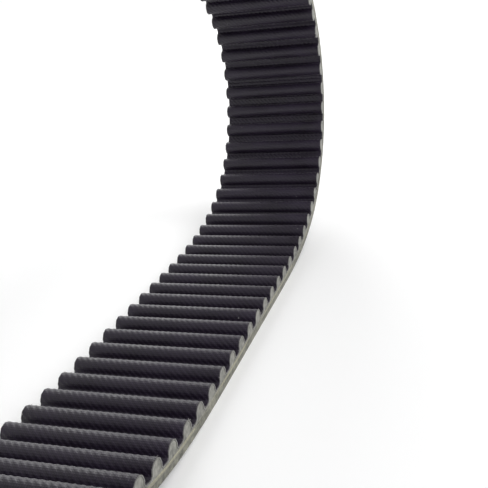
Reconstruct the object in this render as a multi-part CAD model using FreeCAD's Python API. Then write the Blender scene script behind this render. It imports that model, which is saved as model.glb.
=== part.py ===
"""Endless timing belt, 3 mm pitch with round teeth inside, 72 teeth, 15 mm wide.

The loop stands on its back: X runs across the width, Y along the loop, Z is up, and the
origin is on the supporting surface under the middle of the bottom run. The loop is cut
into twelve lengths of six teeth, each on a body of its own, that hinge on one another at
the pitch line in the middle of a land. The top length is in two halves.
Each length has four layers: backing, cord ply, tooth rubber and fabric facing.
"""
import FreeCAD, Part
import math
import os

# Driving dimensions, millimetres and degrees
PITCH = 3.0            # from tooth to tooth along the cords
TEETH = 72             # endless loop, 216 mm long at the pitch line
WIDTH = 15.0
TOOTH_HEIGHT = 1.17    # above the land
TIP_RADIUS = 0.90
LAND_DEPTH = 0.38      # land surface to pitch line
BACK_DEPTH = 0.75      # pitch line to back
CORD_PLY = 0.30        # thickness of the ply of cords, centred on the pitch line
FACING = 0.18          # thickness of the fabric over teeth and lands
LENGTH_TEETH = 6       # teeth in each hinged length
FLAT_TEETH = 3         # straight teeth on each side of the middle of a run
BEND_REACH = 17.0      # teeth from the tip of a bend to where its curvature has died away
CLEARANCE = 0.05       # left in each slit when its hinge is at its limit

# Hinge angles in degrees, at the two ends of the flexing range
FLEX_OPEN = 9.0        # each root hinge, loop opened towards a circle
FLEX_FLAT = 3.0        # each root hinge, loop pressed flatter
RATIOS = (1.0, 0.25, -1.25, -1.25, 0.25, 1.0)  # hinges of one side, from the bottom to the top

# Derived sizes
ROOT_RADIUS = TOOTH_HEIGHT - TIP_RADIUS
HALF_BASE = TIP_RADIUS + ROOT_RADIUS
HALF_LOOP = TEETH // 2
QUARTER = TEETH // 4


def bend_weight(distance):
    """Raised cosine of the distance, in teeth, from the tip of a bend."""
    if distance > QUARTER - FLAT_TEETH:
        return 0.0
    return math.cos(0.5 * math.pi * distance / BEND_REACH) ** 2


def tooth_turn(index):
    """Angle in radians that the loop turns over the pitch of one tooth."""
    total = sum(bend_weight(k + 0.5) for k in range(QUARTER))
    middle = (index % HALF_LOOP) + 0.5
    return 0.5 * math.pi * bend_weight(abs(middle - QUARTER)) / total


class Cell:
    """One pitch of the belt: a constant curve with a tooth in its middle."""

    def __init__(self, y, z, heading, turn):
        self.y = y
        self.z = z
        self.heading = heading
        self.turn = turn

    def at(self, along, inward):
        """Point at a distance along the pitch line and a height towards the inside."""
        angle = self.heading + self.turn * along / PITCH
        if self.turn:
            radius = PITCH / self.turn
            y = self.y + radius * (math.sin(angle) - math.sin(self.heading))
            z = self.z - radius * (math.cos(angle) - math.cos(self.heading))
        else:
            y = self.y + along * math.cos(angle)
            z = self.z + along * math.sin(angle)
        return FreeCAD.Vector(-WIDTH / 2, y - inward * math.sin(angle), z + inward * math.cos(angle))

    def beside_tooth(self, sideways, inward):
        """Point given in the straight axes of the tooth in the middle of the cell."""
        angle = self.heading + 0.5 * self.turn
        foot = self.at(PITCH / 2, inward)
        return foot + FreeCAD.Vector(0, sideways * math.cos(angle), sideways * math.sin(angle))


def curve(cell, start, stop, inward):
    """Edge that keeps one height above the pitch line."""
    first, last = cell.at(start, inward), cell.at(stop, inward)
    if not cell.turn:
        return Part.LineSegment(first, last).toShape()
    return Part.Arc(first, cell.at((start + stop) / 2, inward), last).toShape()


def toothed(cell, start, stop, depth):
    """Edges over land, tooth and land, at a depth below the visible surface."""
    land = LAND_DEPTH - depth
    root_height = LAND_DEPTH + ROOT_RADIUS
    root_middle = (ROOT_RADIUS + depth) * math.sqrt(0.5)
    edges = []
    for side in (-1, 1):
        foot = cell.at(PITCH / 2 + side * HALF_BASE, land)
        middle = cell.beside_tooth(side * (HALF_BASE - root_middle), root_height - root_middle)
        shoulder = cell.beside_tooth(side * (TIP_RADIUS - depth), root_height)
        edges.append((foot, middle, shoulder))
    (foot_a, middle_a, shoulder_a), (foot_b, middle_b, shoulder_b) = edges
    tip = cell.beside_tooth(0, LAND_DEPTH + TOOTH_HEIGHT - depth)
    return [
        curve(cell, start, PITCH / 2 - HALF_BASE, land),
        Part.Arc(foot_a, middle_a, shoulder_a).toShape(),
        Part.Arc(shoulder_a, tip, shoulder_b).toShape(),
        Part.Arc(shoulder_b, middle_b, foot_b).toShape(),
        curve(cell, PITCH / 2 + HALF_BASE, stop, land),
    ]


def loop_cells():
    """All cells from the start of the bottom length, once round the loop."""
    cells = []
    y, z, heading = -FLAT_TEETH * PITCH, BACK_DEPTH, 0.0
    for index in range(-FLAT_TEETH, TEETH - FLAT_TEETH):
        cell = Cell(y, z, heading, tooth_turn(index))
        cells.append(cell)
        end = cell.at(PITCH, 0)
        y, z, heading = end.y, end.z, heading + cell.turn
    return cells


def slit(number):
    """Width of the slit at a hinge, counted from the bottom along one side."""
    if number == len(RATIOS):
        return CLEARANCE
    ratio = RATIOS[number]
    inside = max(ratio * FLEX_OPEN, -ratio * FLEX_FLAT)
    outside = max(-ratio * FLEX_OPEN, ratio * FLEX_FLAT)
    closed_inside = LAND_DEPTH * math.tan(math.radians(inside))
    closed_outside = BACK_DEPTH * math.tan(math.radians(outside))
    return max(closed_inside, closed_outside) + CLEARANCE


def lengths(cells):
    """Yield a name, the cells and the two slit widths of each length of the belt."""
    side = len(RATIOS)
    yield "bottom", cells[:LENGTH_TEETH], slit(0), slit(0)
    place = LENGTH_TEETH
    for number in range(1, side):
        yield f"far_{number}", cells[place:place + LENGTH_TEETH], slit(number - 1), slit(number)
        place += LENGTH_TEETH
    half = LENGTH_TEETH // 2
    yield f"far_{side}", cells[place:place + half], slit(side - 1), slit(side)
    place += half
    yield f"near_{side}", cells[place:place + half], slit(side), slit(side - 1)
    place += half
    for number in range(side - 1, 0, -1):
        yield f"near_{number}", cells[place:place + LENGTH_TEETH], slit(number), slit(number - 1)
        place += LENGTH_TEETH


def spans(cells, first_slit, last_slit):
    """Each cell with where it starts and stops, trimmed by half a slit at the ends."""
    last = len(cells) - 1
    for place, cell in enumerate(cells):
        start = first_slit / 2 if place == 0 else 0.0
        stop = PITCH - last_slit / 2 if place == last else PITCH
        yield cell, start, stop


def smooth_side(run, inward):
    return [curve(cell, start, stop, inward) for cell, start, stop in run]


def toothed_side(run, depth):
    return [edge for cell, start, stop in run for edge in toothed(cell, start, stop, depth)]


def layer(outer, inner):
    """Solid between two chains of edges that run side by side, across the whole width."""
    ends = []
    for place in (0, -1):
        vertex = 0 if place == 0 else 1
        a = outer[place].Vertexes[vertex].Point
        b = inner[place].Vertexes[vertex].Point
        ends.append(Part.LineSegment(a, b).toShape())
    edges = outer + [ends[1]] + list(reversed(inner)) + [ends[0]]
    wire = Part.Wire(Part.__sortEdges__(edges))
    return Part.Face(wire).extrude(FreeCAD.Vector(WIDTH, 0, 0))


def backing(run):
    """Rubber outside the cords, with the ground back."""
    return layer(smooth_side(run, -BACK_DEPTH), smooth_side(run, -CORD_PLY / 2))


def cord_ply(run):
    """Ply of glass cords side by side, which carries the pull."""
    return layer(smooth_side(run, -CORD_PLY / 2), smooth_side(run, CORD_PLY / 2))


def tooth_rubber(run):
    """Rubber that fills the teeth under the fabric, with a thin web on each land."""
    return layer(smooth_side(run, CORD_PLY / 2), toothed_side(run, FACING))


def facing(run):
    """Fabric that covers teeth and lands."""
    return layer(toothed_side(run, FACING), toothed_side(run, 0.0))


LAYERS = {"backing": backing, "cords": cord_ply, "teeth": tooth_rubber, "facing": facing}


def main():
    os.makedirs("parts", exist_ok=True)
    cells = loop_cells()
    for name, own_cells, first_slit, last_slit in lengths(cells):
        run = list(spans(own_cells, first_slit, last_slit))
        for kind, make in LAYERS.items():
            solid = make(run)
            solid.exportStep(f"parts/{kind}_{name}.step")
            print(f"{kind}_{name} valid {solid.isValid()} volume {solid.Volume:.3f}")
        hinge = own_cells[0].at(0, 0)
        print(f"{name} starts at y {hinge.y:.6f} z {hinge.z:.6f}")
    last = cells[-1].at(PITCH, 0)
    print(f"loop closes at y {last.y:.9f} z {last.z:.9f}")


main()
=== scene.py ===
import math

import bmesh
import bpy
import numpy as np
from mathutils import Matrix, Vector


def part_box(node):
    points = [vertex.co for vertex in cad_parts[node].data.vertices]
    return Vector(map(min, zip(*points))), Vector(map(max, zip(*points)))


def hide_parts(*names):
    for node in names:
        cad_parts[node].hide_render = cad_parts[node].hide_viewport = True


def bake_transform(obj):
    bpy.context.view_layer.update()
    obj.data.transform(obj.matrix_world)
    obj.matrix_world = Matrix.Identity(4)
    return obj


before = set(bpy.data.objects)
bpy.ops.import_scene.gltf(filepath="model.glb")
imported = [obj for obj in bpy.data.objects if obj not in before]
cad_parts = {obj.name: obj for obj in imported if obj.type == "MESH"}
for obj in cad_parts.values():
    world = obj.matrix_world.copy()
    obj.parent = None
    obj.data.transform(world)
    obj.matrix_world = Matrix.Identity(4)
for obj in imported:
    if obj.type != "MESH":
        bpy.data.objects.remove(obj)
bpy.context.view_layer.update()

# ---------------------------------------------------------------------------------------
# The pitch line. A timing belt bends about the plane of its cords, so every layer is laid
# out flat, tooth by tooth, and then bent along this one closed line: two straight runs
# joined by bends whose curvature rises and falls as a raised cosine.
# ---------------------------------------------------------------------------------------
MM = 0.001
PITCH = 3.0 * MM
TEETH = 72
QUARTER = TEETH // 4
FLAT_TEETH = 3
BEND_REACH = 17.0
BACK_DEPTH = 0.75 * MM
STEPS_PER_TOOTH = 12


def bend_weight(distance):
    """How sharply the line bends at a distance, in teeth, from the tip of a bend."""
    if distance > QUARTER - FLAT_TEETH:
        return 0.0
    return math.cos(0.5 * math.pi * distance / BEND_REACH) ** 2


def pitch_line_points():
    """The closed line, several short chords to a tooth, from the middle of the bottom run."""
    total = sum(bend_weight(k + 0.5) for k in range(QUARTER))
    y, z, heading = 0.0, BACK_DEPTH, 0.0
    points = [(0.0, y, z)]
    step = PITCH / STEPS_PER_TOOTH
    for place in range(TEETH * STEPS_PER_TOOTH):
        tooth = (place // STEPS_PER_TOOTH) % (2 * QUARTER)
        turn = 0.5 * math.pi * bend_weight(abs(tooth + 0.5 - QUARTER)) / total / STEPS_PER_TOOTH
        chord = step * math.sin(turn / 2) / (turn / 2) if turn else step
        y += chord * math.cos(heading + turn / 2)
        z += chord * math.sin(heading + turn / 2)
        heading += turn
        points.append((0.0, y, z))
    return points


line_points = pitch_line_points()
line_curve = bpy.data.curves.new("pitch_line", "CURVE")
line_curve.dimensions = "3D"
line_spline = line_curve.splines.new("POLY")
line_spline.points.add(len(line_points) - 1)
for spot, (x, y, z) in zip(line_spline.points, line_points):
    spot.co = (x, y, z, 1.0)
pitch_line = bpy.data.objects.new("pitch_line", line_curve)
bpy.context.scene.collection.objects.link(pitch_line)

# ---------------------------------------------------------------------------------------
# Facing: one sleeve of black nylon twill, 0.18 mm thick, stretched over teeth and lands
# when the belt is moulded. The ribs of the twill are 0.62 mm apart and stand up a little;
# the edges are cut with the belt, so a few yarn ends show there.
# ---------------------------------------------------------------------------------------
HALF_WIDTH = (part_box("backing_bottom")[1][0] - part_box("backing_bottom")[0][0]) / 2
LAND = 0.38 * MM
TOOTH_HEIGHT = 1.17 * MM
TIP_RADIUS = 0.90 * MM
ROOT_RADIUS = TOOTH_HEIGHT - TIP_RADIUS
FABRIC = 0.18 * MM
RIBS_ACROSS = 24
TWILL_ACROSS = 2 * HALF_WIDTH / RIBS_ACROSS
TWILL_RELIEF = 0.040 * MM
FACING_COLUMNS = 160
WELD = 0.001 * MM
MATH, VECTOR, MIX = "ShaderNodeMath", "ShaderNodeVectorMath", "ShaderNodeMix"


def node(tree, kind, feeds=None, **settings):
    """Add a node, set it up and feed its sockets: a value, a socket, or a node's first output."""
    made = tree.nodes.new(kind)
    for name, value in settings.items():
        setattr(made, name, value)
    for socket, value in (feeds or {}).items():
        if isinstance(value, bpy.types.Node):
            value = value.outputs[0]
        if isinstance(value, bpy.types.NodeSocket):
            tree.links.new(value, made.inputs[socket])
        else:
            made.inputs[socket].default_value = value
    return made


def belt_layout():
    """Repeat one tooth's stretch of a layer, lean it sideways and bend it on the pitch line."""
    tree = bpy.data.node_groups.new("belt_layout", "GeometryNodeTree")
    for name, kind in (("Geometry", "Geometry"), ("Pitch line", "Object"), ("Start", "Float"),
                       ("Pitch", "Float"), ("Teeth", "Int"), ("Stiff half width", "Float"),
                       ("Across", "Int"), ("Spacing", "Float"), ("Drift", "Float"),
                       ("Edge ripple", "Float"), ("Edge at", "Float"), ("Seed", "Float"),
                       ("Material", "Material")):
        tree.interface.new_socket(name=name, in_out="INPUT", socket_type="NodeSocket" + kind)
    tree.interface.new_socket(name="Geometry", in_out="OUTPUT", socket_type="NodeSocketGeometry")
    given = node(tree, "NodeGroupInput").outputs
    pitch = given["Pitch"]

    # the flat layer: one tooth's stretch, repeated along the belt, and for the cords across it
    step = node(tree, "ShaderNodeCombineXYZ", {"Y": pitch})
    along = node(tree, "GeometryNodeMeshLine", {"Count": given["Teeth"], "Offset": step})
    teeth = node(tree, "GeometryNodeInstanceOnPoints", {"Points": along, "Instance": given["Geometry"]})
    row = node(tree, "GeometryNodeRealizeInstances", {0: teeth})
    gaps = node(tree, MATH, {0: given["Across"], 1: 1.0}, operation="SUBTRACT")
    spread = node(tree, MATH, {0: gaps, 1: given["Spacing"]}, operation="MULTIPLY")
    half_spread = node(tree, MATH, {0: spread, 1: -0.5}, operation="MULTIPLY")
    first = node(tree, "ShaderNodeCombineXYZ", {"X": half_spread})
    sideways = node(tree, "ShaderNodeCombineXYZ", {"X": given["Spacing"]})
    across = node(tree, "GeometryNodeMeshLine",
                  {"Count": given["Across"], "Start Location": first, "Offset": sideways})
    rows = node(tree, "GeometryNodeInstanceOnPoints", {"Points": across, "Instance": row})
    flat = node(tree, "GeometryNodeRealizeInstances", {0: rows})
    joined = node(tree, "GeometryNodeMergeByDistance", {"Geometry": flat, "Distance": WELD})

    # where a point is: its length along the belt and how far it is from its tooth's middle
    place = node(tree, "GeometryNodeInputPosition")
    axes = node(tree, "ShaderNodeSeparateXYZ", {0: place}).outputs
    length = node(tree, MATH, {0: axes["Y"], 1: given["Start"]}, operation="ADD")
    in_tooth = node(tree, MATH, {0: axes["Y"], 1: pitch}, operation="FLOORED_MODULO")
    half_pitch = node(tree, MATH, {0: pitch, 1: 0.5}, operation="MULTIPLY")
    beside = node(tree, MATH, {0: in_tooth, 1: half_pitch}, operation="SUBTRACT")
    middle = node(tree, MATH, {0: length, 1: beside}, operation="SUBTRACT")
    apart = node(tree, MATH, {0: beside}, operation="ABSOLUTE")
    stiff = node(tree, "ShaderNodeMapRange",
                 {"Value": apart, "From Min": given["Stiff half width"], "From Max": half_pitch,
                  "To Min": 1.0, "To Max": 0.0}, interpolation_type="SMOOTHSTEP")

    # the cut edge wavers a little, and the cords lean by one spacing in a turn
    shift = node(tree, "ShaderNodeCombineXYZ", {"Y": given["Start"], "Z": given["Seed"]})
    ripple_at = node(tree, VECTOR, {0: place, 1: shift}, operation="ADD")
    ripple = node(tree, "ShaderNodeTexNoise", {"Vector": ripple_at, "Scale": 2.4 / MM, "Detail": 2.0})
    swing = node(tree, MATH, {0: ripple, 1: 0.5}, operation="SUBTRACT")
    outwards = node(tree, MATH, {0: axes["X"]}, operation="SIGN")
    from_middle = node(tree, MATH, {0: axes["X"]}, operation="ABSOLUTE")
    at_edge = node(tree, MATH, {0: from_middle, 1: given["Edge at"]}, operation="GREATER_THAN")
    push = node(tree, MATH, {0: swing, 1: given["Edge ripple"]}, operation="MULTIPLY")
    push = node(tree, MATH, {0: push, 1: outwards}, operation="MULTIPLY")
    push = node(tree, MATH, {0: push, 1: at_edge}, operation="MULTIPLY")
    lean = node(tree, MATH, {0: length, 1: given["Drift"], 2: push}, operation="MULTIPLY_ADD")
    side = node(tree, MATH, {0: axes["X"], 1: lean}, operation="ADD")
    side_step = node(tree, "ShaderNodeCombineXYZ", {"X": side})

    # bent: every point at its own length; rigid: the whole tooth square to its middle
    line = node(tree, "GeometryNodeObjectInfo", {0: given["Pitch line"]}).outputs["Geometry"]
    ends = []
    for at, ahead in ((length, 0.0), (middle, beside)):
        sample = node(tree, "GeometryNodeSampleCurve", {"Curves": line, "Length": at}, mode="LENGTH")
        tangent = sample.outputs["Tangent"]
        inward = node(tree, VECTOR, {0: (1.0, 0.0, 0.0), 1: tangent}, operation="CROSS_PRODUCT")
        raised = node(tree, VECTOR, {0: inward, "Scale": axes["Z"]}, operation="SCALE")
        forward = node(tree, VECTOR, {0: tangent, "Scale": ahead}, operation="SCALE")
        lifted = node(tree, VECTOR, {0: sample.outputs["Position"], 1: raised}, operation="ADD")
        ends.append(node(tree, VECTOR, {0: lifted, 1: forward}, operation="ADD"))
    mixed = node(tree, MIX, {"Factor": stiff, 4: ends[0], 5: ends[1]}, data_type="VECTOR").outputs[1]
    final = node(tree, VECTOR, {0: mixed, 1: side_step}, operation="ADD")
    moved = node(tree, "GeometryNodeSetPosition", {"Geometry": joined, "Position": final})
    solid = node(tree, "GeometryNodeRealizeInstances", {0: moved})
    painted = node(tree, "GeometryNodeSetMaterial", {"Geometry": solid, "Material": given["Material"]})
    node(tree, "NodeGroupOutput", {0: painted})
    return tree


belt_tree = belt_layout()
SPAN_TEETH = 6
SPANS = TEETH // SPAN_TEETH
SPAN_LENGTH = SPAN_TEETH * PITCH
SIDE = SPANS // 2


def span_bodies(span):
    """The two bodies that a span joins, in the order of the pitch line."""
    names = ["bottom"] + [f"far_{k}" for k in range(1, SIDE + 1)]
    names += [f"near_{k}" for k in range(SIDE, 0, -1)] + ["bottom"]
    place = span if span < SIDE else span + 1
    return names[place], names[place + 1]


def close_ends(mesh):
    """Cap the open ends of a finished layer and turn its faces outwards."""
    form = bmesh.new()
    form.from_mesh(mesh)
    rim = [edge for edge in form.edges if edge.is_boundary]
    bmesh.ops.holes_fill(form, edges=rim, sides=0)
    bmesh.ops.recalc_face_normals(form, faces=form.faces)
    form.to_mesh(mesh)
    form.free()


def plain_mesh(name, start, tree, values):
    """Run a tree on a mesh with the given inputs and keep the result as a plain mesh."""
    holder = bpy.data.objects.new(name, start)
    bpy.context.scene.collection.objects.link(holder)
    layout = holder.modifiers.new("layout", "NODES")
    layout.node_group = tree
    for socket in tree.interface.items_tree:
        if socket.in_out == "INPUT" and socket.name in values:
            layout[socket.identifier] = values[socket.name]
    bpy.context.view_layer.update()
    shape = holder.evaluated_get(bpy.context.evaluated_depsgraph_get())
    mesh = bpy.data.meshes.new_from_object(shape)
    holder.modifiers.remove(layout)
    holder.data = mesh
    mesh.name = name
    return holder


def lay_out(name, unit, material, span, finish=close_ends, **sizes):
    """One layer of one span of the belt, bent along the pitch line."""
    values = {"Pitch line": pitch_line, "Start": span * SPAN_LENGTH, "Pitch": PITCH, "Teeth": SPAN_TEETH,
              "Stiff half width": TIP_RADIUS, "Across": 1, "Spacing": 0.0, "Drift": 0.0,
              "Edge ripple": 0.0, "Edge at": HALF_WIDTH, "Seed": 0.0, "Material": material}
    values.update(sizes)
    piece = plain_mesh(name, unit, belt_tree, values)
    if finish:
        finish(piece.data)
    return piece


def fix_to_belt(piece, span, kind):
    """Keep a bent piece where it lies and let it stand for the CAD layer of the two bodies it joins."""
    first, second = span_bodies(span)
    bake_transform(piece)
    replaced = [f"{kind}_{body}" for body in (first, second) if body != "bottom"]
    if span == 0:
        replaced.append(f"{kind}_bottom")
    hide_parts(*replaced)


def linear(code):
    """sRGB hex to the linear colour that the shader sockets take."""
    parts = [int(code[k:k + 2], 16) / 255 for k in (1, 3, 5)]
    return tuple(c / 12.92 if c <= 0.04045 else ((c + 0.055) / 1.055) ** 2.4 for c in parts) + (1.0,)


def tooth_outline(depth, land_steps=3, root_steps=4, tip_steps=18):
    """Points, outward normals and surface distance over one tooth, from land to land."""
    spots = []
    half_base = TIP_RADIUS + ROOT_RADIUS
    centre_height = LAND + ROOT_RADIUS
    for k in range(land_steps):
        y = -PITCH / 2 + (PITCH / 2 - half_base) * k / land_steps
        spots.append((y, LAND - depth, 0.0, 1.0))
    for k in range(root_steps):
        a = 0.5 * math.pi * k / root_steps
        r = ROOT_RADIUS + depth
        spots.append((-half_base + r * math.sin(a), centre_height - r * math.cos(a),
                      -math.sin(a), math.cos(a)))
    for k in range(tip_steps + 1):
        a = math.pi * k / tip_steps
        r = TIP_RADIUS - depth
        spots.append((-r * math.cos(a), centre_height + r * math.sin(a), -math.cos(a), math.sin(a)))
    left = spots[:land_steps + root_steps]
    spots += [(-y, z, -ny, nz) for y, z, ny, nz in reversed(left)]
    outline = np.array(spots)
    outline[:, 0] += PITCH / 2
    steps = np.hypot(np.diff(outline[:, 0]), np.diff(outline[:, 1]))
    return outline, np.concatenate([[0.0], np.cumsum(steps)])


def mesh_of(name, verts, faces, weave=None):
    """A mesh with, for the cloth, the map that its weave follows."""
    mesh = bpy.data.meshes.new(name)
    mesh.from_pydata([tuple(v) for v in verts], [], faces)
    if weave is not None:
        layer = mesh.uv_layers.new(name="weave")
        spots = np.array([loop.vertex_index for loop in mesh.loops])
        layer.data.foreach_set("uv", np.asarray(weave, dtype=float)[spots].ravel())
    return mesh


def facing_unit():
    """One tooth of the fabric: a fine outer face with the twill's ribs and a plain inner one."""
    outline, distance = tooth_outline(0.0)
    lining, _ = tooth_outline(FABRIC)
    rows = len(outline)
    ribs_per_tooth = round(distance[-1] / TWILL_ACROSS)
    xs = np.linspace(-HALF_WIDTH, HALF_WIDTH, FACING_COLUMNS + 1)
    verts, weave = [], []
    for (y, z, ny, nz), v in zip(outline, distance):
        phase = v / distance[-1] * ribs_per_tooth
        for x in xs:
            rib = math.sin(math.pi * (x / TWILL_ACROSS + phase)) ** 2 - 1.0
            lift = TWILL_RELIEF * rib
            verts.append((x, y + ny * lift, z + nz * lift))
            weave.append((x / TWILL_ACROSS, phase))
    inner = len(verts)
    for (y, z, ny, nz), v in zip(lining, distance):
        for x in (-HALF_WIDTH, HALF_WIDTH):
            verts.append((x, y, z))
            weave.append((x / TWILL_ACROSS, v / distance[-1] * ribs_per_tooth))
    faces = []
    wide = FACING_COLUMNS + 1
    for r in range(rows - 1):
        for c in range(FACING_COLUMNS):
            a = r * wide + c
            faces.append((a, a + 1, a + wide + 1, a + wide))
        i = inner + 2 * r
        faces.append((i, i + 2, i + 3, i + 1))
        faces.append((r * wide, (r + 1) * wide, i + 2, i))
        right = r * wide + FACING_COLUMNS
        faces.append((right, i + 1, i + 3, right + wide))
    return mesh_of("facing_unit", verts, faces, weave)


def shader(name):
    """A new material with its Principled shader and its texture coordinates."""
    material = bpy.data.materials.new(name)
    material.use_nodes = True
    tree = material.node_tree
    tree.nodes.clear()
    surface = node(tree, "ShaderNodeBsdfPrincipled")
    node(tree, "ShaderNodeOutputMaterial", {"Surface": surface})
    spot = node(tree, "ShaderNodeTexCoord").outputs["Object"]
    return material, tree, surface, spot


# a Wave texture runs through 20 radians in a unit of its map, or 10 on the diagonal
STRAIGHT_WAVE = 2 * math.pi / 20
DIAGONAL_WAVE = 2 * math.pi / 10
YARNS_PER_RIB = 3


def nylon_twill():
    """Black nylon twill, woven and dipped in adhesive: dull yarns with a soft shine on the ribs."""
    material, tree, surface, spot = shader("black_nylon_twill")
    surface.inputs["IOR"].default_value = 1.53
    surface.inputs["Sheen Weight"].default_value = 0.22
    surface.inputs["Sheen Roughness"].default_value = 0.25
    weave = node(tree, "ShaderNodeUVMap", uv_map="weave")
    axes = node(tree, "ShaderNodeSeparateXYZ", {0: spot}).outputs

    # a rib in each unit of the weave map and three yarns to a rib, both ways, as rounded bumps
    rib = node(tree, "ShaderNodeTexWave", {"Vector": weave, "Scale": DIAGONAL_WAVE},
               bands_direction="DIAGONAL")
    warp = node(tree, "ShaderNodeTexWave", {"Vector": weave, "Scale": YARNS_PER_RIB * STRAIGHT_WAVE},
                bands_direction="X")
    weft = node(tree, "ShaderNodeTexWave", {"Vector": weave, "Scale": YARNS_PER_RIB * STRAIGHT_WAVE},
                bands_direction="Y")
    yarn = node(tree, MATH, {0: warp, 1: weft, 2: rib}, operation="MULTIPLY_ADD")
    fibre = node(tree, "ShaderNodeTexNoise", {"Vector": spot, "Scale": 9.0 / MM, "Detail": 3.0})
    patch = node(tree, "ShaderNodeTexNoise", {"Vector": spot, "Scale": 0.26 / MM, "Detail": 3.0})
    relief = node(tree, MATH, {0: fibre, 1: yarn}, operation="ADD")
    bump = node(tree, "ShaderNodeBump", {"Height": relief, "Strength": 0.36, "Distance": 0.04 * MM})
    # painted shade: the cloth's colour is lighter on the crests of its ribs and yarns and darker in the
    # valleys between them, mixed with random patches of tone
    weave_shade_and_patches = node(tree, MATH, {0: yarn, 1: 0.14, 2: patch}, operation="MULTIPLY_ADD")
    tone = node(tree, "ShaderNodeMapRange", {"Value": weave_shade_and_patches, "From Min": 0.3, "From Max": 1.1})
    cloth = node(tree, MIX, {"Factor": tone, 6: linear("#120a18"), 7: linear("#241a2f")},
                 data_type="RGBA").outputs[2]

    # lint and dust: pale specks a few tenths of a millimetre apart, more of them by one edge
    specks = node(tree, "ShaderNodeTexVoronoi", {"Vector": spot, "Scale": 1.5 / MM})
    scarce = node(tree, "ShaderNodeTexNoise", {"Vector": spot, "Scale": 0.9 / MM, "Detail": 1.0})
    limit = node(tree, "ShaderNodeMapRange", {"Value": axes["X"], "From Min": 3.0 * MM,
                                              "From Max": HALF_WIDTH, "To Min": 0.74, "To Max": 0.66})
    small = node(tree, MATH, {0: specks, 1: 0.12}, operation="LESS_THAN")
    here = node(tree, MATH, {0: scarce, 1: limit}, operation="GREATER_THAN")
    dust = node(tree, MATH, {0: small, 1: here}, operation="MULTIPLY")
    dusty = node(tree, MIX, {"Factor": dust, 6: cloth, 7: linear("#8f8d8c")}, data_type="RGBA").outputs[2]

    # the cut edge shows yarn ends, paler than the cloth
    outwards = node(tree, MATH, {0: axes["X"]}, operation="ABSOLUTE")
    cut = node(tree, "ShaderNodeMapRange", {"Value": outwards, "From Min": HALF_WIDTH - 0.06 * MM,
                                            "From Max": HALF_WIDTH - 0.02 * MM})
    colour = node(tree, MIX, {"Factor": cut, 6: dusty, 7: linear("#5b5a56")}, data_type="RGBA").outputs[2]
    rough = node(tree, "ShaderNodeMapRange", {"Value": patch, "To Min": 0.32, "To Max": 0.55})
    for socket, source in (("Base Color", colour), ("Roughness", rough.outputs[0]),
                           ("Normal", bump.outputs[0])):
        tree.links.new(source, surface.inputs[socket])
    return material


FABRIC_WAVER = {"Edge ripple": 0.06 * MM, "Edge at": HALF_WIDTH - 0.01 * MM, "Seed": 0.3}
twill = nylon_twill()
fabric_unit = facing_unit()
for span in range(SPANS):
    cloth = lay_out(f"facing_span_{span + 1}", fabric_unit, twill, span, **FABRIC_WAVER)
    cloth.data.polygons.foreach_set("use_smooth", [True] * len(cloth.data.polygons))
    fix_to_belt(cloth, span, "facing")

# ---------------------------------------------------------------------------------------
# Yarn ends: where the knife slit the sleeve, a few bundles of nylon filaments spring out
# of the cut by a tenth of a millimetre or two. They are pale with dust and lie every way.
# ---------------------------------------------------------------------------------------
END_LENGTH = 0.20 * MM
END_RADIUS = 0.022 * MM
END_SIDES = 5
END_LEAN = (0.9, 0.9, math.pi)
ENDS_PER_TOOTH = 2.4
EDGE_STRIP = (0.10 * MM, 0.03 * MM)


def yarn_end():
    """One bundle of filaments: a thin closed spindle, bent a little to one side."""
    rings = ((0.0, 0.7), (0.35, 1.0), (0.75, 0.8), (1.0, 0.35))
    verts, faces = [], [tuple(range(END_SIDES))[::-1]]
    for share, thickness in rings:
        for k in range(END_SIDES):
            a = 2 * math.pi * k / END_SIDES
            bow = 0.25 * END_LENGTH * share * share
            verts.append((bow + END_RADIUS * thickness * math.cos(a), END_RADIUS * thickness * math.sin(a),
                          END_LENGTH * (share - 0.3)))
    for ring in range(len(rings) - 1):
        for k in range(END_SIDES):
            a, b = ring * END_SIDES + k, ring * END_SIDES + (k + 1) % END_SIDES
            faces.append((a, b, b + END_SIDES, a + END_SIDES))
    faces.append(tuple(range(len(verts) - END_SIDES, len(verts))))
    return mesh_of("yarn_end", verts, faces)


def edge_strips():
    """The narrow strips of cloth along both cut edges of a span, laid out flat."""
    outline, _ = tooth_outline(0.0)
    rows = [(y + tooth * PITCH, z) for tooth in range(SPAN_TEETH) for y, z, _, _ in outline[:-1]]
    verts, faces = [], []
    for side in (-1, 1):
        near, far = (side * (HALF_WIDTH - inset) for inset in EDGE_STRIP)
        first = len(verts)
        for y, z in rows:
            verts += [(near, y, z), (far, y, z)]
        for r in range(first, len(verts) - 2, 2):
            face = (r, r + 1, r + 3, r + 2)
            faces.append(face if side > 0 else face[::-1])
    return mesh_of("edge_strips", verts, faces)


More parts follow.
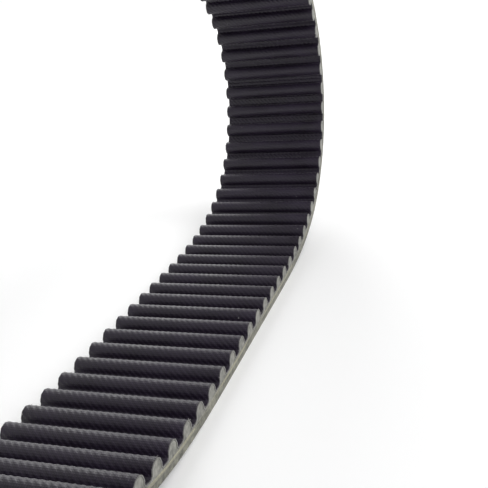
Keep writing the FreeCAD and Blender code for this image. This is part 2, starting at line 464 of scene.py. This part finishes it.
def scatter():
    """Stand yarn ends on a surface at random, leaning every way."""
    tree = bpy.data.node_groups.new("scatter_yarn_ends", "GeometryNodeTree")
    for name, kind in (("Geometry", "Geometry"), ("Yarn end", "Object"), ("Density", "Float"),
                       ("Lean", "Vector"), ("Seed", "Int"), ("Material", "Material")):
        tree.interface.new_socket(name=name, in_out="INPUT", socket_type="NodeSocket" + kind)
    tree.interface.new_socket(name="Geometry", in_out="OUTPUT", socket_type="NodeSocketGeometry")
    given = node(tree, "NodeGroupInput").outputs
    spots = node(tree, "GeometryNodeDistributePointsOnFaces",
                 {"Mesh": given["Geometry"], "Density": given["Density"], "Seed": given["Seed"]})
    back = node(tree, VECTOR, {0: given["Lean"], "Scale": -1.0}, operation="SCALE")
    lean = node(tree, "FunctionNodeRandomValue", {0: back, 1: given["Lean"], "Seed": given["Seed"]},
                data_type="FLOAT_VECTOR")
    aim = node(tree, "FunctionNodeRotateRotation",
               {"Rotation": spots.outputs["Rotation"], "Rotate By": lean}, rotation_space="LOCAL")
    size = node(tree, "FunctionNodeRandomValue", {2: 0.5, 3: 1.15, "Seed": given["Seed"]},
                data_type="FLOAT")
    bundle = node(tree, "GeometryNodeObjectInfo", {0: given["Yarn end"]}).outputs["Geometry"]
    ends = node(tree, "GeometryNodeInstanceOnPoints",
                {"Points": spots, "Instance": bundle, "Rotation": aim, "Scale": size.outputs[1]})
    solid = node(tree, "GeometryNodeRealizeInstances", {0: ends})
    painted = node(tree, "GeometryNodeSetMaterial", {"Geometry": solid, "Material": given["Material"]})
    node(tree, "NodeGroupOutput", {0: painted})
    return tree


def dusty_filaments():
    """Undyed core of the nylon yarn with rubber dust in it: pale grey, rough, no clear shine."""
    material, tree, surface, spot = shader("frayed_nylon_filament")
    surface.inputs["IOR"].default_value = 1.53
    surface.inputs["Roughness"].default_value = 0.5
    dust = node(tree, "ShaderNodeTexNoise", {"Vector": spot, "Scale": 1.2 / MM, "Detail": 2.0})
    tone = node(tree, "ShaderNodeMapRange", {"Value": dust, "From Min": 0.35, "From Max": 0.65})
    colour = node(tree, MIX, {"Factor": tone, 6: linear("#4c4a4d"), 7: linear("#c9c6c2")},
                  data_type="RGBA").outputs[2]
    tree.links.new(colour, surface.inputs["Base Color"])
    return material


scatter_tree = scatter()
filaments = dusty_filaments()
bundle = bpy.data.objects.new("yarn_end", yarn_end())
strips = edge_strips()
_, cloth_length = tooth_outline(0.0)
strip_area = 2 * cloth_length[-1] * (EDGE_STRIP[0] - EDGE_STRIP[1])
for span in range(SPANS):
    values = {"Yarn end": bundle, "Density": ENDS_PER_TOOTH / strip_area, "Lean": END_LEAN,
              "Seed": span + 1, "Material": filaments}
    flat = plain_mesh("loose_yarns", strips, scatter_tree, values)
    yarns = lay_out(f"loose_yarns_span_{span + 1}", flat.data, filaments, span, finish=None, Teeth=1)
    bpy.data.objects.remove(flat)
    fix_to_belt(yarns, span, "facing")
bpy.data.objects.remove(bundle)

# ---------------------------------------------------------------------------------------
# Tooth rubber: black chloroprene that the mould pressed through the cords to fill the
# teeth. It shows only on the two edges, where the sleeve was slit with a knife, so its
# ends are flat, greyish and finely scored.
# ---------------------------------------------------------------------------------------
RUBBER_INSET = 0.03 * MM
EDGE_LEVELS = 6
# marks to a millimetre along X, Y and Z: 0.4 mm apart on the cut, coarser than real so that they show
KNIFE_MARKS = (0.3 / MM, 2.5 / MM, 2.5 / MM)
RUBBER_WAVER = {"Edge ripple": 0.03 * MM, "Edge at": HALF_WIDTH - 0.05 * MM}


def walled_unit(name, top, bottom, columns, levels, ridges=None):
    """One tooth's stretch of a solid layer, with finely divided edges and a ridged bottom."""
    verts, faces = [], []
    half = HALF_WIDTH - RUBBER_INSET
    rows = len(top)

    def grid(count_r, count_c, place, turned):
        first = len(verts)
        for r in range(count_r + 1):
            for c in range(count_c + 1):
                verts.append(place(r, c))
        for r in range(count_r):
            for c in range(count_c):
                a = first + r * (count_c + 1) + c
                face = (a, a + 1, a + count_c + 2, a + count_c + 1)
                faces.append(face[::-1] if turned else face)

    def across(edge, c, rise=None):
        x = -half + 2 * half * c / columns
        lift = rise(x) if rise and 0 < c < columns else 0.0
        return (x, edge[0], edge[1] + lift)

    grid(rows - 1, columns, lambda r, c: across(top[r], c), False)
    grid(rows - 1, columns, lambda r, c: across(bottom[r], c, ridges), True)
    for side in (-1, 1):
        def wall(r, c, side=side):
            share = c / levels
            y = bottom[r][0] + (top[r][0] - bottom[r][0]) * share
            z = bottom[r][1] + (top[r][1] - bottom[r][1]) * share
            return (side * half, y, z)
        grid(rows - 1, levels, wall, side < 0)
    return mesh_of(name, verts, faces)


def seal(mesh):
    """Join the walls to the faces, cap the ends and turn the faces outwards."""
    form = bmesh.new()
    form.from_mesh(mesh)
    bmesh.ops.remove_doubles(form, verts=form.verts, dist=0.1 * WELD)
    form.to_mesh(mesh)
    form.free()
    close_ends(mesh)


def cut_rubber(name, face_tones, slit_tones, marks, shine):
    """Chloroprene with fine marks; where it was slit at the two edges it is grey and dusty."""
    material, tree, surface, spot = shader(name)
    surface.inputs["IOR"].default_value = 1.52
    sideways = node(tree, "ShaderNodeSeparateXYZ", {0: spot}).outputs["X"]
    from_middle = node(tree, MATH, {0: sideways}, operation="ABSOLUTE")
    slit = node(tree, "ShaderNodeMapRange", {"Value": from_middle, "From Min": HALF_WIDTH - 0.09 * MM,
                                             "From Max": HALF_WIDTH - 0.05 * MM})
    grain = node(tree, "ShaderNodeTexNoise", {"Vector": spot, "Scale": 6.0 / MM, "Detail": 3.0})
    blotch = node(tree, "ShaderNodeTexNoise", {"Vector": spot, "Scale": 0.45 / MM, "Detail": 3.0})

    def scored(scale, tones):
        """Marks drawn out in one direction, and the two tones of rubber that they mix."""
        stretch = node(tree, "ShaderNodeMapping", {"Vector": spot, "Scale": scale})
        score = node(tree, "ShaderNodeTexNoise", {"Vector": stretch, "Scale": 1.0, "Detail": 4.0})
        share = node(tree, MATH, {0: blotch, 1: 0.6, 2: score}, operation="MULTIPLY_ADD")
        tone = node(tree, "ShaderNodeMapRange", {"Value": share, "From Min": 0.5, "From Max": 1.1})
        shades = {"Factor": tone, 6: linear(tones[0]), 7: linear(tones[1])}
        return score, node(tree, MIX, shades, data_type="RGBA").outputs[2]

    _, face_colour = scored(marks, face_tones)
    knife_score, slit_colour = scored(KNIFE_MARKS, slit_tones)
    colour = node(tree, MIX, {"Factor": slit, 6: face_colour, 7: slit_colour},
                  data_type="RGBA").outputs[2]
    relief = node(tree, MATH, {0: knife_score, 1: grain}, operation="ADD")
    bump = node(tree, "ShaderNodeBump", {"Height": relief, "Strength": 0.5, "Distance": 0.02 * MM})
    rough = node(tree, "ShaderNodeMapRange", {"Value": grain, "To Min": shine, "To Max": shine + 0.25})
    for socket, source in (("Base Color", colour), ("Roughness", rough.outputs[0]),
                           ("Normal", bump.outputs[0])):
        tree.links.new(source, surface.inputs[socket])
    return material


lining, _ = tooth_outline(FABRIC)
tooth_top = [(y, z) for y, z, _, _ in lining]
tooth_foot = [(y, 0.0) for y, z, _, _ in lining]
tooth_unit = walled_unit("tooth_unit", tooth_top, tooth_foot, 1, EDGE_LEVELS)
slit_rubber = cut_rubber("slit_chloroprene", ("#1a1a19", "#2c2c2a"), ("#383835", "#8d8c84"),
                         KNIFE_MARKS, 0.35)
for span in range(SPANS):
    teeth = lay_out(f"tooth_rubber_span_{span + 1}", tooth_unit, slit_rubber, span, finish=seal,
                    Seed=1.7, **RUBBER_WAVER)
    fix_to_belt(teeth, span, "teeth")

# ---------------------------------------------------------------------------------------
# Backing: a sheet of the same rubber outside the cords. Its back is ground to thickness,
# which leaves a dull surface with fine marks, and the cords print through it faintly.
# ---------------------------------------------------------------------------------------
BACK_ROWS = 6
BACK_COLUMNS = 144
BACK_LEVELS = 4
CORD_SPACING = 0.60 * MM
PRINT_DEPTH = 0.014 * MM
# along the belt, as the stone runs: 0.2 mm apart and 8 mm long, coarser than real so that they show
GRINDING_MARKS = (5.0 / MM, 0.12 / MM, 0.12 / MM)


def cord_print(x):
    """How far the ground back lies in between two cords, at a place across the belt."""
    return 0.5 * PRINT_DEPTH * (1 - math.cos(2 * math.pi * x / CORD_SPACING))


back_line = [(PITCH * k / BACK_ROWS, -BACK_DEPTH) for k in range(BACK_ROWS + 1)]
back_top = [(PITCH * k / BACK_ROWS, 0.0) for k in range(BACK_ROWS + 1)]
backing_unit = walled_unit("backing_unit", back_top, back_line, BACK_COLUMNS, BACK_LEVELS, cord_print)
ground_rubber = cut_rubber("ground_chloroprene", ("#131312", "#2b2b29"), ("#383832", "#818073"),
                           GRINDING_MARKS, 0.45)
for span in range(SPANS):
    back = lay_out(f"backing_span_{span + 1}", backing_unit, ground_rubber, span, finish=seal,
                   Seed=2.9, **RUBBER_WAVER)
    fix_to_belt(back, span, "backing")

# ---------------------------------------------------------------------------------------
# Cords: glass yarn of 0.30 mm, twisted and dipped, wound side by side in a flat helix that
# moves over by one cord in a turn. Where the helix runs out at an edge the knife has cut
# along the cord, which leaves a thin pale line.
# ---------------------------------------------------------------------------------------
CORD_RADIUS = 0.15 * MM
CORD_COUNT = 26
CORD_SIDES = 8
CORD_RINGS = 6
CORD_CUT = 0.012 * MM


def cord_unit():
    """One tooth's stretch of one cord, an open tube on the pitch line."""
    verts, faces = [], []
    for ring in range(CORD_RINGS + 1):
        for k in range(CORD_SIDES):
            a = 2 * math.pi * k / CORD_SIDES
            verts.append((CORD_RADIUS * math.cos(a), PITCH * ring / CORD_RINGS, CORD_RADIUS * math.sin(a)))
    for ring in range(CORD_RINGS):
        for k in range(CORD_SIDES):
            a, b = ring * CORD_SIDES + k, ring * CORD_SIDES + (k + 1) % CORD_SIDES
            faces.append((a, a + CORD_SIDES, b + CORD_SIDES, b))
    return mesh_of("cord_unit", verts, faces)


def trim_cords(mesh):
    """Cut the cords off flush with the two edges of the belt."""
    form = bmesh.new()
    form.from_mesh(mesh)
    for side in (-1, 1):
        bmesh.ops.bisect_plane(form, geom=form.verts[:] + form.edges[:] + form.faces[:], dist=1e-9,
                               plane_co=(side * (HALF_WIDTH - CORD_CUT), 0, 0), plane_no=(side, 0, 0),
                               clear_outer=True)
    form.to_mesh(mesh)
    form.free()
    close_ends(mesh)


def glass_cord():
    """E-glass yarn in resorcinol latex: straw-coloured filaments with a dull shine."""
    material, tree, surface, spot = shader("dipped_glass_cord")
    surface.inputs["IOR"].default_value = 1.55
    surface.inputs["Roughness"].default_value = 0.45
    strands = node(tree, "ShaderNodeTexNoise", {"Vector": spot, "Scale": 4.0 / MM, "Detail": 3.0})
    colour = node(tree, MIX, {"Factor": strands, 6: linear("#5e5b4a"), 7: linear("#a09d89")},
                  data_type="RGBA").outputs[2]
    bump = node(tree, "ShaderNodeBump", {"Height": strands, "Strength": 0.4, "Distance": 0.02 * MM})
    tree.links.new(colour, surface.inputs["Base Color"])
    tree.links.new(bump.outputs[0], surface.inputs["Normal"])
    return material


dipped_glass = glass_cord()
yarn_unit = cord_unit()
for span in range(SPANS):
    cords = lay_out(f"cords_span_{span + 1}", yarn_unit, dipped_glass, span, finish=trim_cords,
                    Across=CORD_COUNT, Spacing=CORD_SPACING, Drift=CORD_SPACING / (TEETH * PITCH))
    cords.data.polygons.foreach_set("use_smooth", [True] * len(cords.data.polygons))
    fix_to_belt(cords, span, "cords")

bpy.data.objects.remove(pitch_line)

# ---------------------------------------------------------------------------------------
# Floor, light and camera: a white table, a broad soft lamp high on the right, a tall window
# behind on the left, and a white room that is brighter behind the belt than in front of it.
# ---------------------------------------------------------------------------------------
TABLE_REACH = 3.0
corners = [(x * TABLE_REACH, y * TABLE_REACH, 0) for x, y in ((-1, -1), (1, -1), (1, 1), (-1, 1))]
floor_mesh = bpy.data.meshes.new("table_top")
floor_mesh.from_pydata(corners, [], [(0, 1, 2, 3)])
table_top = bpy.data.objects.new("table_top", floor_mesh)
bpy.context.scene.collection.objects.link(table_top)
white, _, white_surface, _ = shader("white_table_lacquer")
white_surface.inputs["Base Color"].default_value = linear("#fbfbfb")
white_surface.inputs["Roughness"].default_value = 0.6
floor_mesh.materials.append(white)


def lamp(name, kind, place, aim, **settings):
    """A light at one place that is aimed at another."""
    light = bpy.data.lights.new(name, kind)
    for setting, value in settings.items():
        setattr(light, setting, value)
    made = bpy.data.objects.new(name, light)
    made.location = place
    made.rotation_euler = (Vector(aim) - Vector(place)).to_track_quat("-Z", "Y").to_euler()
    bpy.context.scene.collection.objects.link(made)


lamp("soft_box", "SUN", (0.70, -0.18, 0.60), (0.0, 0.0, 0.0), energy=1.70, angle=math.radians(50))
lamp("window", "AREA", (-0.24, 0.50, 0.36), (0.0, 0.0, 0.01), shape="ELLIPSE", size=0.25, size_y=0.55,
     energy=0.86)

bpy.context.scene.view_settings.view_transform = "Standard"
world = bpy.data.worlds.new("white_room")
bpy.context.scene.world = world
world.use_nodes = True

# the room is white near the horizon all round; overhead it falls off, more so in front
room = world.node_tree
direction = node(room, "ShaderNodeTexCoord").outputs["Generated"]
toward = node(room, "ShaderNodeSeparateXYZ", {0: direction}).outputs
overhead = node(room, MATH, {0: toward["Y"], 1: 0.30, 2: 0.73}, operation="MULTIPLY_ADD")
level = node(room, "ShaderNodeMapRange", {"Value": toward["Z"], "From Min": 0.10, "From Max": 0.38,
                                          "To Min": 1.02, "To Max": overhead})
room.links.new(level.outputs[0], room.nodes["Background"].inputs["Strength"])
room.nodes["Background"].inputs["Color"].default_value = (1.0, 1.0, 1.0, 1.0)

CAMERA_AT = (28.83 * MM, -63.26 * MM, 34.76 * MM)
LOOK_LEFT, LOOK_DOWN, ROLL = math.radians(18.82), math.radians(20.05), math.radians(-5.95)
camera_data = bpy.data.cameras.new("camera")
camera_data.lens = 52.14
camera_data.sensor_width = 36.0
camera_data.clip_start = 0.001
camera = bpy.data.objects.new("camera", camera_data)
turned = (Matrix.Rotation(LOOK_LEFT, 4, "Z") @ Matrix.Rotation(math.pi / 2 - LOOK_DOWN, 4, "X")
          @ Matrix.Rotation(ROLL, 4, "Z"))
camera.matrix_world = Matrix.Translation(CAMERA_AT) @ turned
bpy.context.scene.collection.objects.link(camera)
bpy.context.scene.camera = camera
